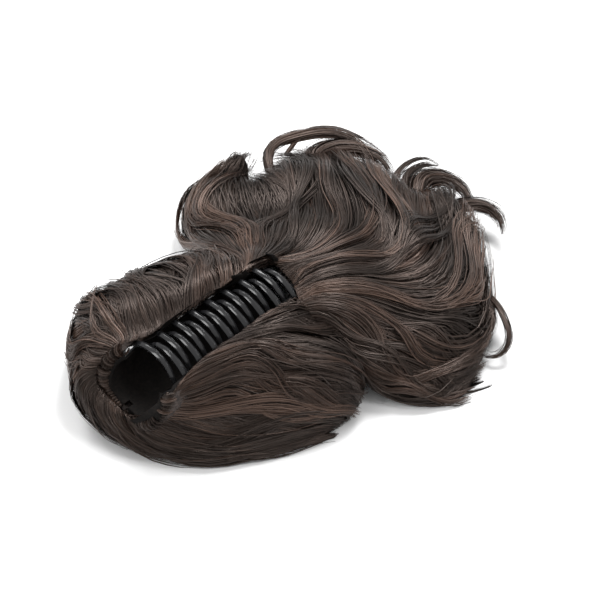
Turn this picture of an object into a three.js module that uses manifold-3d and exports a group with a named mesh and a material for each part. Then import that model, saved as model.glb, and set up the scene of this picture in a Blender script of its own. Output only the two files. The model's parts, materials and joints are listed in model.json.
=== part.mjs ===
// A clip-in ponytail: wavy hair sewn to the two halves of a sprung jaw clip, lying with the teeth up.
// Millimetres. X runs along the clip from its first tooth to its last, Y to its left side, Z up
// from the surface that the hair lies on.
import * as THREE from 'three';
import { mergeVertices } from 'three/addons/utils/BufferGeometryUtils.js';
import Module from 'manifold-3d';

const wasm = await Module();
wasm.setup();

// The teeth
const toothPitch = 8.8;
const teethPerJaw = 8;
const toothWidth = 3.1;
const toothThickness = 2.3;
const toothTipWidth = 1.9;
const toothReach = 122;

// The jaw plates, whose inside is an oval tunnel
const tunnelHalfWidth = 15.2;
const tunnelHalfDepth = 11;
const mouthTaper = 0.84;
const plateWall = 2.2;
const plateFoot = -78;
const plateCrest = 35;
const frontReach = 15.5;
const frontHeight = 20;
const backReach = 6;
const backRound = 7;

// The hinge, its spring and the finger levers
const hingeDrop = 4;
const pinRadius = 1.5;
const pinOverhang = 0.8;
const knuckleRadius = 2.9;
const knuckleWidth = 3.5;
const springSpan = 14;
const springWire = 0.9;
const springTurns = 4;
const leverLength = 12.5;
const leverWidth = 30;
const leverWall = 2.2;
const leverSplay = 29;
const openAngle = 35;

// How the clip lies: rolled towards its right side, its middle off to the left
const clipRoll = 10;
const clipSide = 6;
const clipLift = 25.5;

// The sewn wefts
const weftThickness = 2;
const weftWidth = 5.5;
const weftLip = 1.2;

// The hair. Plan places and curl sizes are shares of the hair span, tops are shares of its height.
const hairSpan = 100;
const hairHeight = 40;
const lockWidth = 20;
const curlRadius = 4;
const slotHalfWidth = 10.5;
const slotWidening = 0.03;
const slotPoint = 4;
const underWedge = 20;

// Clearances
const gap = 0.4;
const hingeGap = 0.3;

// Sizes that follow from those above
const toothRow = (teethPerJaw - 0.5) * toothPitch;
const hingeHeight = -hingeDrop - tunnelHalfDepth;
const backEnd = toothRow + backReach;
const partLine = backEnd + slotPoint;
const hingeMiddle = toothRow / 2;
const outerHalfDepth = tunnelHalfDepth + plateWall;
const slotHeight = tunnelHalfDepth * Math.sin(rad(plateCrest));
const weftCrest = plateCrest + 2;
const weftOut = plateWall + hingeGap + weftThickness;
const weftTop = (tunnelHalfDepth + weftOut) * Math.sin(rad(weftCrest));
const far = 3 * hairSpan;

const LEFT = 1;
const RIGHT = -1;

function rad(degrees) {
  return THREE.MathUtils.degToRad(degrees);
}

function smooth(share) {
  return THREE.MathUtils.smoothstep(share, 0, 1);
}

// A closed geometry as a manifold-3d solid
function solidOf(geometry) {
  const bare = geometry.clone();
  bare.deleteAttribute('normal');
  bare.deleteAttribute('uv');
  const merged = mergeVertices(bare, 1e-4);
  return new wasm.Manifold(new wasm.Mesh({
    numProp: 3,
    vertProperties: new Float32Array(merged.attributes.position.array),
    triVerts: new Uint32Array(merged.index.array),
  }));
}

function joined(solids) {
  return solids.reduce((whole, solid) => whole.add(solid));
}

// The largest body of a solid: trimmings that a cut leaves loose fall away
function mainBody(solid) {
  const bodies = solid.decompose();
  return bodies.reduce((best, body) => (body.volume() > best.volume() ? body : best));
}

function meshOf(name, solid, material) {
  const { vertProperties, numProp, triVerts } = mainBody(solid).getMesh();
  const positions = new Float32Array((vertProperties.length / numProp) * 3);
  for (let i = 0; i < positions.length / 3; i++) {
    positions.set(vertProperties.subarray(i * numProp, i * numProp + 3), i * 3);
  }
  const geometry = new THREE.BufferGeometry();
  geometry.setAttribute('position', new THREE.BufferAttribute(positions, 3));
  geometry.setIndex(new THREE.BufferAttribute(triVerts, 1));
  geometry.computeVertexNormals();
  const mesh = new THREE.Mesh(geometry, material);
  mesh.name = name;
  return mesh;
}

// Rings of points, each as long as the last, joined into a tube with closed ends. Seen from the
// far end, the points of a ring run counterclockwise.
function loft(rings) {
  const count = rings[0].length;
  const points = rings.flat();
  const faces = [];
  for (let i = 0; i + 1 < rings.length; i++) {
    for (let j = 0; j < count; j++) {
      const a = i * count + j;
      const b = i * count + ((j + 1) % count);
      faces.push(a, b, b + count, a, b + count, a + count);
    }
  }
  const last = (rings.length - 1) * count;
  for (let j = 1; j + 1 < count; j++) {
    faces.push(0, j + 1, j, last, last + j, last + j + 1);
  }
  const geometry = new THREE.BufferGeometry().setFromPoints(points);
  geometry.setIndex(faces);
  return solidOf(geometry);
}

// A shape drawn in (y, z), extruded along X from one place to another
function alongX(shape, from, to, curveSegments = 24) {
  const geometry = new THREE.ExtrudeGeometry(shape, { depth: to - from, bevelEnabled: false, curveSegments });
  const turn = new THREE.Matrix4().set(0, 0, 1, from, 1, 0, 0, 0, 0, 1, 0, 0, 0, 0, 0, 1);
  return solidOf(geometry.applyMatrix4(turn));
}

// A shape drawn in (x, z), extruded along Y from one place to another
function alongY(shape, from, to, curveSegments = 8) {
  const geometry = new THREE.ExtrudeGeometry(shape, { depth: to - from, bevelEnabled: false, curveSegments });
  const turn = new THREE.Matrix4().set(1, 0, 0, 0, 0, 0, -1, to, 0, 1, 0, 0, 0, 0, 0, 1);
  return solidOf(geometry.applyMatrix4(turn));
}

// A shape drawn in (x, y), extruded up from one height to another
function alongZ(shape, from, to) {
  const geometry = new THREE.ExtrudeGeometry(shape, { depth: to - from, bevelEnabled: false });
  return solidOf(geometry.translate(0, 0, from));
}

function square(half) {
  return polygon([[-half, -half], [half, -half], [half, half], [-half, half]]);
}

function polygon(points) {
  return new THREE.Shape(points.map(([x, y]) => new THREE.Vector2(x, y)));
}

// A piece made for the left side, or its mirror image for the right
function onSide(side, solid) {
  return side === LEFT ? solid : solid.mirror([0, 1, 0]);
}

// The clip is drawn upright with the middle of its tunnel at the height 0, and is then laid down
function laid(solid) {
  return solid.rotate([clipRoll, 0, 0]).translate([0, clipSide, clipLift]);
}

// The tunnel as a solid, grown outwards: an oval bar that narrows towards its mouth
function tunnelBar(grow, from = -far, to = far) {
  const points = 36;
  const stations = [-far, -frontReach, -frontReach * 0.5, 0, far];
  const rings = stations.map((x) => {
    const narrow = THREE.MathUtils.lerp(mouthTaper, 1, smooth((x + frontReach) / frontReach));
    return Array.from({ length: points }, (_, i) => {
      const turn = (2 * Math.PI * i) / points;
      const wide = tunnelHalfWidth * narrow + grow;
      const deep = tunnelHalfDepth * narrow + grow;
      return new THREE.Vector3(x, wide * Math.cos(turn), deep * Math.sin(turn));
    });
  });
  return loft(rings).intersect(alongX(square(far), from, to));
}

// The sector of a tunnel's wall between two angles of its oval
function sector(foot, crest) {
  const ends = [foot, (foot + crest) / 2, crest].map((angle) => {
    const { x, y } = ovalPoint(angle, 0);
    return [x * 9, y * 9];
  });
  return alongX(polygon([[0, 0], ...ends]), -far, far);
}

// A strip of wall round the tunnel, from its inside to its outside
function wallStrip(inside, outside, foot, crest) {
  return tunnelBar(outside).subtract(tunnelBar(inside)).intersect(sector(foot, crest));
}

// The outline of a jaw from the side: a slanting mouth, a level crest and a rounded back
function jawOutline(grow) {
  const low = -far;
  const front = -frontReach - grow;
  const crest = outerHalfDepth + grow;
  const mouthTop = -toothWidth - grow;
  const back = backEnd + grow;
  const shape = new THREE.Shape();
  shape.moveTo(front, low);
  shape.lineTo(back, low);
  shape.lineTo(back, crest - backRound);
  shape.quadraticCurveTo(back, crest, back - backRound, crest);
  shape.lineTo(mouthTop, crest);
  shape.lineTo(front, frontHeight - clipLift);
  shape.closePath();
  return shape;
}

function ovalPoint(angle, grow) {
  return new THREE.Vector2(
    (tunnelHalfWidth + grow) * Math.cos(rad(angle)),
    (tunnelHalfDepth + grow) * Math.sin(rad(angle)),
  );
}

// One tooth: a ridged bar that leaves the plate's crest, arches over and ends inside the other plate
function tooth(x) {
  const stations = 8;
  const root = plateCrest - 9;
  const rings = [];
  for (let i = 0; i < stations; i++) {
    const share = i / (stations - 1);
    const angle = root + toothReach * share;
    const sink = -plateWall * 1.6 * smooth((share - 0.55) / 0.45);
    const half = THREE.MathUtils.lerp(toothWidth, toothTipWidth, share) / 2;
    const thick = toothThickness * (1 - 0.45 * smooth((share - 0.7) / 0.3));
    const inner = ovalPoint(angle, sink + (plateWall - thick) * 0.5);
    const shoulder = ovalPoint(angle, sink + plateWall * 0.5 + thick * 0.15);
    const ridge = ovalPoint(angle, sink + (plateWall + thick) * 0.5);
    rings.push([
      new THREE.Vector3(x - half * 0.8, inner.x, inner.y),
      new THREE.Vector3(x + half * 0.8, inner.x, inner.y),
      new THREE.Vector3(x + half, shoulder.x, shoulder.y),
      new THREE.Vector3(x, ridge.x, ridge.y),
      new THREE.Vector3(x - half, shoulder.x, shoulder.y),
    ]);
  }
  return loft(rings);
}

// Where a lever leaves the plate's foot, in (y, z)
function leverRoot() {
  return ovalPoint(plateFoot, plateWall / 2);
}

function lever() {
  const root = leverRoot();
  const round = leverLength / 2;
  const shape = new THREE.Shape();
  shape.moveTo(-leverWidth / 2, leverWall / 2);
  shape.lineTo(-leverWidth / 2, -leverLength + round);
  shape.quadraticCurveTo(-leverWidth / 2, -leverLength, -leverWidth / 2 + round, -leverLength);
  shape.lineTo(leverWidth / 2 - round, -leverLength);
  shape.quadraticCurveTo(leverWidth / 2, -leverLength, leverWidth / 2, -leverLength + round);
  shape.lineTo(leverWidth / 2, leverWall / 2);
  shape.closePath();
  return alongY(shape, -leverWall / 2, leverWall / 2)
    .rotate([leverSplay, 0, 0])
    .translate([hingeMiddle, root.x, root.y]);
}

// One ear of the hinge, from the pin to the plate's foot
function knuckle(x) {
  const root = leverRoot();
  const ring = new THREE.Shape().absarc(0, hingeHeight, knuckleRadius, 0, 2 * Math.PI, false);
  const half = knuckleRadius * 0.6;
  const bar = polygon([
    [0, hingeHeight - half],
    [root.x + half * 0.5, root.y - half],
    [root.x + half * 0.5, root.y + half * 0.5],
    [0, hingeHeight + half],
  ]);
  const from = x - knuckleWidth / 2;
  return alongX(ring, from, from + knuckleWidth, 10).add(alongX(bar, from, from + knuckleWidth));
}

function pinHole() {
  const hole = new THREE.Shape().absarc(0, hingeHeight, pinRadius + hingeGap, 0, 2 * Math.PI, false);
  return alongX(hole, -far, far, 8);
}

// How far a jaw's two knuckles stand from the middle of the hinge
function knuckleOffset(side) {
  const inner = (springSpan + knuckleWidth) / 2;
  return side === LEFT ? inner + knuckleWidth + gap : inner;
}

// Half of the clip: plate, teeth, lever and hinge ears, moulded in one
function jaw(side) {
  const plate = wallStrip(0, plateWall, plateFoot, plateCrest).intersect(alongY(jawOutline(0), -far, far));
  const firstTooth = side === LEFT ? 0 : toothPitch / 2;
  const parts = [plate, lever()];
  for (let i = 0; i < teethPerJaw; i++) parts.push(tooth(firstTooth + i * toothPitch));
  for (const end of [-1, 1]) parts.push(knuckle(hingeMiddle + end * knuckleOffset(side)));
  return onSide(side, joined(parts).subtract(pinHole()));
}

function hingePin() {
  const half = knuckleOffset(LEFT) + knuckleWidth / 2 + pinOverhang;
  const round = new THREE.Shape().absarc(0, hingeHeight, pinRadius, 0, 2 * Math.PI, false);
  return alongX(round, hingeMiddle - half, hingeMiddle + half, 8);
}

// A torsion spring: turns round the pin, with a leg down the inside of each lever
function hingeSpring() {
  const turnRadius = pinRadius + hingeGap + springWire;
  const half = springSpan / 2 - springWire;
  const stepsPerTurn = 9;
  const steps = stepsPerTurn * springTurns;
  const line = [];
  const legEnd = (side) => {
    const root = leverRoot();
    const down = leverLength * 0.55;
    const inside = leverWall / 2 + springWire / 2 + gap;
    const y = root.x + down * Math.sin(rad(leverSplay)) - inside / Math.cos(rad(leverSplay));
    return new THREE.Vector3(hingeMiddle + side * half, side * y, root.y - down * Math.cos(rad(leverSplay)));
  };
  line.push(legEnd(RIGHT));
  for (let i = 0; i <= steps; i++) {
    const turn = Math.PI + (2 * Math.PI * springTurns - Math.PI) * (i / steps);
    const x = hingeMiddle + THREE.MathUtils.lerp(-half, half, i / steps);
    line.push(new THREE.Vector3(x, turnRadius * Math.cos(turn), hingeHeight + turnRadius * Math.sin(turn)));
  }
  line.push(legEnd(LEFT));
  return tube(line, line.map(() => springWire / 2), 5);
}

// A round tube along a line of points, with a radius at each
function tube(line, radii, sides, flatten = 1) {
  const up = new THREE.Vector3(0, 0, 1);
  const rings = line.map((point, i) => {
    const ahead = line[Math.min(i + 1, line.length - 1)];
    const behind = line[Math.max(i - 1, 0)];
    const along = ahead.clone().sub(behind).normalize();
    const across = along.clone().cross(Math.abs(along.z) > 0.9 ? new THREE.Vector3(1, 0, 0) : up).normalize();
    const rise = across.clone().cross(along).normalize();
    return Array.from({ length: sides }, (_, j) => {
      const turn = (2 * Math.PI * j) / sides;
      return point.clone()
        .addScaledVector(across, -radii[i] * Math.cos(turn))
        .addScaledVector(rise, radii[i] * flatten * Math.sin(turn));
    });
  });
  return loft(rings);
}

// A sewn weft: a band on the outside of a plate, along its slanting mouth and its crest
function weft(side) {
  const band = wallStrip(plateWall + hingeGap, weftOut, -90, weftCrest)
    .intersect(alongY(jawOutline(weftLip), -far, far))
    .intersect(alongX(square(far), -far, backEnd - gap));
  const middle = jawOutline(weftLip);
  const window = alongY(middle, -far, far).translate([weftWidth * 1.6, 0, -weftWidth * 2]);
  return onSide(side, band.subtract(window)).subtract(reserve(side));
}

// What one side of the hair and its weft leave free for the other as the jaws open. Under the
// hinge the two sides part further to the left, so that the gap between them stays out of sight.
function reserve(side) {
  const overhang = gap * 0.75;
  const deep = far;
  const turn = side === LEFT ? underWedge : openAngle + 3 - underWedge;
  const wedge = deep * Math.tan(rad(turn));
  const free = polygon([
    [-overhang, far],
    [-overhang, hingeHeight],
    [-overhang - wedge, hingeHeight - deep],
    [2 * far, hingeHeight - deep],
    [2 * far, far],
  ]);
  if (side === LEFT) return alongX(free, -far, partLine + gap).mirror([0, 1, 0]);
  const behind = polygon([[partLine, -far], [far, -far], [far, far], [partLine, far]]);
  return alongX(free, -far, far).add(alongZ(behind, -far, far));
}

// What all hair leaves free: the clip with its wefts, the slot over the teeth and the levers' room
function clipRoom() {
  const outline = alongY(jawOutline(weftLip + gap), -far, far)
    .intersect(alongX(square(far), -far, backEnd + gap));
  const sewn = tunnelBar(weftOut + gap).intersect(outline).intersect(alongZ(square(far), -far, weftTop + gap));
  const toothed = tunnelBar(plateWall / 2 + toothThickness / 2 + gap).intersect(outline);
  const edge = (x) => slotHalfWidth + slotWidening * x;
  const slot = alongZ(polygon([
    [-frontReach, -edge(0)],
    [backEnd, -edge(backEnd)],
    [backEnd + slotPoint, 0],
    [backEnd, edge(backEnd)],
    [-frontReach, edge(0)],
  ]), slotHeight, far);
  const mouth = tunnelBar(0, -far, 0);
  return joined([sewn, toothed, slot, mouth, leverRoom()]);
}

function leverRoom() {
  const root = leverRoot();
  const tip = leverLength + 5 * gap;
  const beside = leverWall / 2 + 2.5 * gap;
  const reach = (down) => root.x + beside / Math.cos(rad(leverSplay)) + down * Math.tan(rad(leverSplay));
  const shape = polygon([
    [-reach(0), root.y],
    [-reach(tip), root.y - tip],
    [reach(tip), root.y - tip],
    [reach(0), root.y],
  ]);
  const half = leverWidth / 2 + 2 * gap;
  return alongX(shape, hingeMiddle - half, hingeMiddle + half);
}

// The locks of hair, one row each: its width as a share of a full lock's, then the places that it
// passes from root to tip, along and across the clip as shares of the hair span, with its tops as
// shares of the hair height.
const tailLeft = [
  { wide: 0.9, along: [0.6, 0.69, 0.8, 0.94, 1.12], across: [0.22, 0.45, 0.71, 0.85, 0.84], tops: [0.86, 0.66, 0.5, 0.44, 0.42] },
  { wide: 1.1, along: [0.6, 0.72, 0.84, 0.94, 1.04], across: [0.22, 0.4, 0.55, 0.69, 0.84], tops: [0.86, 0.7, 0.6, 0.5, 0.42] },
  { wide: 1.0, along: [0.6, 0.76, 0.94, 1.07, 1.18], across: [0.22, 0.28, 0.39, 0.55, 0.82], tops: [0.9, 0.84, 0.72, 0.62, 0.46] },
];
const tailMiddle = [
  { wide: 1.0, along: [0.64, 0.82, 1.02, 1.19, 1.3], across: [0.16, 0.15, 0.23, 0.45, 0.84], tops: [0.95, 0.9, 0.82, 0.68, 0.44] },
  { wide: 1.0, along: [0.7, 0.88, 1.06, 1.26, 1.4], across: [0.1, 0.06, 0.11, 0.32, 0.82], tops: [0.96, 0.9, 0.84, 0.76, 0.42] },
  { wide: 1.0, along: [0.74, 0.94, 1.14, 1.35, 1.5], across: [0.02, -0.03, -0.04, 0.14, 0.62], tops: [0.95, 0.88, 0.8, 0.72, 0.46] },
  { wide: 1.0, along: [0.76, 0.94, 1.18, 1.42, 1.58], across: [-0.04, -0.13, -0.17, 0, 0.4], tops: [0.92, 0.84, 0.74, 0.66, 0.44] },
];
const tailRight = [
  { wide: 1.0, along: [0.78, 0.94, 1.2, 1.48, 1.7], across: [-0.08, -0.21, -0.31, -0.15, 0.22], tops: [0.86, 0.74, 0.62, 0.54, 0.38] },
  { wide: 1.0, along: [0.8, 0.94, 1.14, 1.42, 1.66], across: [-0.12, -0.3, -0.43, -0.38, -0.06], tops: [0.76, 0.62, 0.46, 0.38, 0.28] },
  { wide: 0.9, along: [0.82, 0.88, 0.98, 1.14, 1.34], across: [-0.16, -0.36, -0.5, -0.56, -0.5], tops: [0.7, 0.54, 0.42, 0.32, 0.24] },
  { wide: 0.8, along: [0.84, 0.84, 0.9, 1, 1.14], across: [-0.2, -0.4, -0.53, -0.6, -0.62], tops: [0.56, 0.4, 0.3, 0.22, 0.18] },
];
const rightTress = [
  { wide: 0.9, along: [0.02, 0.2, 0.38, 0.56, 0.7], across: [-0.12, -0.14, -0.16, -0.2, -0.32], tops: [0.92, 1, 1.04, 0.98, 0.72] },
  { wide: 0.9, along: [-0.02, 0.18, 0.36, 0.54, 0.66], across: [-0.14, -0.21, -0.28, -0.34, -0.42], tops: [0.84, 0.88, 0.88, 0.8, 0.6] },
  { wide: 0.9, along: [-0.06, 0.1, 0.28, 0.46, 0.62], across: [-0.12, -0.22, -0.33, -0.41, -0.46], tops: [0.72, 0.7, 0.66, 0.58, 0.44] },
  { wide: 0.9, along: [-0.1, 0.02, 0.2, 0.4, 0.58], across: [-0.06, -0.2, -0.33, -0.43, -0.48], tops: [0.6, 0.54, 0.46, 0.4, 0.32] },
  { wide: 0.85, along: [-0.14, -0.12, 0.04, 0.24, 0.46], across: [0.06, -0.1, -0.29, -0.4, -0.47], tops: [0.46, 0.36, 0.28, 0.24, 0.22] },
];
const leftCrown = [
  { wide: 0.9, along: [0.3, 0.38, 0.46, 0.54], across: [0.2, 0.28, 0.36, 0.44], tops: [0.94, 1, 0.92, 0.74] },
  { wide: 1.0, along: [0.08, 0.16, 0.28, 0.4, 0.5], across: [0.2, 0.29, 0.39, 0.46, 0.48], tops: [0.94, 1.04, 1, 0.9, 0.74] },
  { wide: 1.0, along: [-0.02, 0.02, 0.12, 0.26, 0.42], across: [0.22, 0.35, 0.47, 0.54, 0.56], tops: [0.88, 0.94, 0.92, 0.84, 0.7] },
  { wide: 1.0, along: [-0.06, -0.05, 0.02, 0.14, 0.31], across: [0.18, 0.34, 0.47, 0.56, 0.59], tops: [0.72, 0.74, 0.7, 0.64, 0.62] },
  { wide: 0.9, along: [-0.13, -0.15, -0.11, -0.02, 0.13], across: [0.1, 0.22, 0.36, 0.48, 0.57], tops: [0.5, 0.48, 0.48, 0.48, 0.46] },
];

// The loose curls, as rows of the same kind, except that the tops are the middle of a free tube
const curlsLeft = [
  { wide: 0.8, along: [1.16, 1.28, 1.42, 1.54, 1.62, 1.6], across: [0.7, 0.83, 0.82, 0.74, 0.62, 0.5], tops: [0.36, 0.54, 0.6, 0.56, 0.48, 0.42] },
];
const curlsMiddle = [
  { wide: 0.7, along: [1.52, 1.6, 1.72, 1.84, 1.88], across: [0.26, 0.35, 0.38, 0.35, 0.3], tops: [0.34, 0.42, 0.42, 0.3, 0.16] },
  { wide: 1.2, along: [1.46, 1.6, 1.72, 1.72, 1.64], across: [0.16, 0.23, 0.17, 0.03, -0.08], tops: [0.34, 0.46, 0.44, 0.4, 0.32] },
];
const curlsRight = [
  { wide: 0.55, along: [1.4, 1.38, 1.31, 1.23, 1.2], across: [-0.42, -0.56, -0.68, -0.68, -0.6], tops: [0.24, 0.26, 0.2, 0.14, 0.12] },
];

// A lock's line: a smooth curve through its places, with the heading at each step
function lockLine(row, steps, grow) {
  const curve = new THREE.CatmullRomCurve3(row.along.map((along, i) => new THREE.Vector3(
    along * hairSpan, row.across[i] * hairSpan, row.tops[i] * hairHeight)));
  return Array.from({ length: steps + 1 }, (_, i) => {
    const share = i / steps;
    const along = curve.getTangentAt(share);
    const beyond = (i === steps ? grow : 0) - (i === 0 ? grow : 0);
    const point = curve.getPointAt(share).addScaledVector(along, beyond);
    return { x: point.x, y: point.y, top: point.z, heading: Math.atan2(along.y, along.x), share };
  });
}

// How wide a lock is along its length: gathered at the root, full in the middle, narrow at the tip
function fullness(share) {
  return (0.7 + 0.3 * smooth(share / 0.3)) * (1 - 0.62 * smooth((share - 0.6) / 0.4));
}

// The profile of a lock that lies on the surface, as shares of its half width and of its height
const moundProfile = [
  { across: -0.78, up: 0 },
  { across: 0.78, up: 0 },
  { across: 1.0, up: 0.34 },
  { across: 0.8, up: 0.78 },
  { across: 0.36, up: 1.0 },
  { across: -0.1, up: 0.93 },
  { across: -0.5, up: 0.97 },
  { across: -0.86, up: 0.72 },
  { across: -1.0, up: 0.3 },
];

// One lock that fills down to the surface it lies on
function mound(row, grow) {
  const steps = 10;
  const rings = lockLine(row, steps, grow).map(({ x, y, heading, share, top }) => {
    const half = (row.wide * lockWidth * fullness(share)) / 2 + grow;
    return moundProfile.map(({ across, up }) => new THREE.Vector3(
      x - Math.sin(heading) * across * half,
      y + Math.cos(heading) * across * half,
      up > 0 ? up * top + grow : -grow,
    ));
  });
  return loft(rings);
}

// One loose curl: a tube that thins to its tip
function curl(row, grow) {
  const steps = 14;
  const line = lockLine(row, steps, grow);
  const points = line.map(({ x, y, top }) => new THREE.Vector3(x, y, top));
  const radii = line.map(({ share }) => row.wide * curlRadius * (1 - 0.7 * smooth((share - 0.4) / 0.6)) + grow);
  return tube(points, radii, 6, 0.8);
}

function mounds(rows, grow = 0) {
  return joined(rows.map((row) => mound(row, grow)));
}

function curls(rows, grow = 0) {
  return joined(rows.map((row) => curl(row, grow)));
}

// The hair of each part, trimmed to the clip and to the hair that lies beside it
function hair() {
  const room = laid(clipRoom());
  const leftFree = laid(reserve(LEFT));
  const rightFree = laid(reserve(RIGHT));
  const middleGrown = mounds(tailMiddle, gap).add(curls(curlsMiddle, gap));
  const leftGrown = mounds(tailLeft, gap);
  const middle = mounds(tailMiddle).add(curls(curlsMiddle));
  const left = mounds(tailLeft).add(curls(curlsLeft)).subtract(middleGrown);
  const right = mounds(tailRight).add(curls(curlsRight)).subtract(middleGrown);
  const crown = mounds(leftCrown).subtract(middleGrown).subtract(leftGrown);
  const tress = mounds(rightTress);
  return {
    tail_hair_middle: middle.subtract(room).subtract(leftFree),
    tail_hair_left: left.subtract(room).subtract(leftFree),
    tail_hair_right: right.subtract(room).subtract(leftFree),
    left_crown_hair: crown.subtract(room).subtract(leftFree),
    right_tress_hair: tress.subtract(room).subtract(rightFree),
  };
}

// Materials
const jawPlastic = new THREE.MeshStandardMaterial({ color: 0x151517, roughness: 0.28, metalness: 0 });
const pinSteel = new THREE.MeshStandardMaterial({ color: 0x8c8f94, roughness: 0.35, metalness: 1 });
const weftThread = new THREE.MeshStandardMaterial({ color: 0x2b2422, roughness: 0.8, metalness: 0 });
const hairFibre = new THREE.MeshStandardMaterial({ color: 0x3a302d, roughness: 0.42, metalness: 0 });

const ponytail = new THREE.Group();
ponytail.add(meshOf('left_jaw', laid(jaw(LEFT)), jawPlastic));
ponytail.add(meshOf('right_jaw', laid(jaw(RIGHT)), jawPlastic));
ponytail.add(meshOf('hinge_pin', laid(hingePin()), pinSteel));
ponytail.add(meshOf('hinge_spring', laid(hingeSpring()), pinSteel));
ponytail.add(meshOf('left_weft', laid(weft(LEFT)), weftThread));
ponytail.add(meshOf('right_weft', laid(weft(RIGHT)), weftThread));
for (const [name, solid] of Object.entries(hair())) {
  ponytail.add(meshOf(name, solid, hairFibre));
}

// The origin is the middle of the underside
const reach = new THREE.Box3().setFromObject(ponytail);
const middle = reach.getCenter(new THREE.Vector3());
ponytail.position.set(-middle.x, -middle.y, -reach.min.z);

export default ponytail;
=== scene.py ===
# %% [markdown]
# # A clip-in ponytail
# A short ponytail of wavy false hair, sewn to the two halves of a sprung jaw clip. It lies on a pale
# surface with the teeth of the clip up. The clip was made first, as hard solids. This script loads
# them as a fixed frame and grows the hair over them as thousands of thin ribbons of real geometry.

import json
import math

import bpy
import numpy as np
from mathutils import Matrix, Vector

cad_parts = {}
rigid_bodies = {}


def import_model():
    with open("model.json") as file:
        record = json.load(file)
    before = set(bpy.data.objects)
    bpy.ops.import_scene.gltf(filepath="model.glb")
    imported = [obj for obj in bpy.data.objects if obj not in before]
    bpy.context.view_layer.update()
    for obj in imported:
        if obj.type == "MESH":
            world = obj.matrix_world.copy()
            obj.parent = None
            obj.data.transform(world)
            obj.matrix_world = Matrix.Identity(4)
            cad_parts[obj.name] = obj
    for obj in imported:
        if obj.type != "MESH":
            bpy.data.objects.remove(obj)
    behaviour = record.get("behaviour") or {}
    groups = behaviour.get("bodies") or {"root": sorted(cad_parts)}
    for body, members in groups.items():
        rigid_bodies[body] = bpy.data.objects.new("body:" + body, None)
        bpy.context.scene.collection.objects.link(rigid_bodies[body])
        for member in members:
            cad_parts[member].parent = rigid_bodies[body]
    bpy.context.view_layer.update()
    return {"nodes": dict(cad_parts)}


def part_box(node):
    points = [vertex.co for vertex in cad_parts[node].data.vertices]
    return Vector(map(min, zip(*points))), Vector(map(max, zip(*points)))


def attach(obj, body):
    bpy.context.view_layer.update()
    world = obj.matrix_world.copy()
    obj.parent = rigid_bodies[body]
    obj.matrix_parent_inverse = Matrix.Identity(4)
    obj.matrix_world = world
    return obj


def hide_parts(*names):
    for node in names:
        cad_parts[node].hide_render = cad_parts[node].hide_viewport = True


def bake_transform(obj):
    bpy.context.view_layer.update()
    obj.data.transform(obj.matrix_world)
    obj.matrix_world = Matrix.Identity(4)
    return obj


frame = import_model()
SEED = 7
rng = np.random.default_rng(SEED)

# %% [markdown]
# ## One shared set of sizes
# The hair is drawn in millimetres in the clip's own frame: X runs along the clip from its first
# tooth, Y to its left side. The hinge pin tells where that frame lies in the model, so the hair stays
# on the clip if the model is centred anew. SPAN and HEIGHT are what the guides' shares are counted in,
# and LOCK is the width of a broad lock.

# %% Sizes and the clip's frame
MM = 0.001
SPAN = 100.0
HEIGHT = 40.0
LOCK = 20.0
TOOTH_ROW = 66.0
TUNNEL = (6.0, 25.5)
ROLL = math.radians(10)
HINGE_DROP = 15.0

pin_low, pin_high = [np.array(corner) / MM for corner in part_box("hinge_pin")]
pin = (pin_low + pin_high) / 2
ORIGIN = np.array([
    pin[0] - TOOTH_ROW / 2,
    pin[1] - TUNNEL[0] - HINGE_DROP * math.sin(ROLL),
    0.0,
])
print("first tooth at", ORIGIN, "mm")

# %% [markdown]
# ## Small helpers
# A lock of hair is a smooth curve through a few places. The same curve rule also fills in locks
# between two neighbours, so one helper serves both: it passes a Catmull-Rom curve through its points.

# %% Curves through points
def through(points, places):
    """The curve through points (their first axis) at the given places, counted in points."""
    points = np.asarray(points, float)
    places = np.asarray(places, float)
    last = len(points) - 1
    i = np.clip(np.floor(places).astype(int), 0, last - 1)
    t = places - i
    t = t.reshape(t.shape + (1,) * (points.ndim - 1))
    a = points[np.clip(i - 1, 0, last)]
    b = points[i]
    c = points[i + 1]
    d = points[np.clip(i + 2, 0, last)]
    cubic = (3 * b - a - 3 * c + d) * t**3
    square = (2 * a - 5 * b + 4 * c - d) * t**2
    return 0.5 * (2 * b + (c - a) * t + square + cubic)


def evenly(points, count):
    """The curve through points as count places, evenly spaced along it."""
    fine = through(points, np.linspace(0, len(points) - 1, 30 * len(points)))
    steps = np.linalg.norm(np.diff(fine, axis=0), axis=1)
    along = np.concatenate([[0], np.cumsum(steps)])
    wanted = np.linspace(0, along[-1], count)
    return np.stack([np.interp(wanted, along, fine[:, k]) for k in range(3)], axis=1)


def smooth(share):
    share = np.clip(share, 0, 1)
    return share * share * (3 - 2 * share)


def unit(vectors):
    return vectors / np.maximum(np.linalg.norm(vectors, axis=-1, keepdims=True), 1e-9)


# %% [markdown]
# ## The edge that the hair is sewn to
# The hair leaves a sewn edge that runs round the open mouth of the clip and back along the top of
# both jaws. This helper gives any point of that edge: an angle round the tunnel where the mouth is,
# and a share of the teeth's length where it runs along the top.

# %% The sewn edge
MOUTH_REACH = 15.5
MOUTH_TOP = 3.1
MOUTH_BEND = -5.5
MOUTH_RISE = 2.2
MOUTH_LOW = -84
TUNNEL_WIDE = 15.2
TUNNEL_DEEP = 11.0
NARROWEST = 0.84
WIDENING = 0.16
EDGE_OUT = 4.6
CREST = 37


def narrowing(x):
    """The share of its full width that the tunnel has at x; it is narrower towards the mouth."""
    return NARROWEST + WIDENING * float(smooth((x + MOUTH_REACH) / MOUTH_REACH))


def tilted(x, y, z):
    """A point given from the tunnel's middle line, turned by the clip's roll and set in its place."""
    return np.array([
        x,
        y * math.cos(ROLL) - z * math.sin(ROLL) + TUNNEL[0],
        y * math.sin(ROLL) + z * math.cos(ROLL) + TUNNEL[1],
    ])


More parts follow.
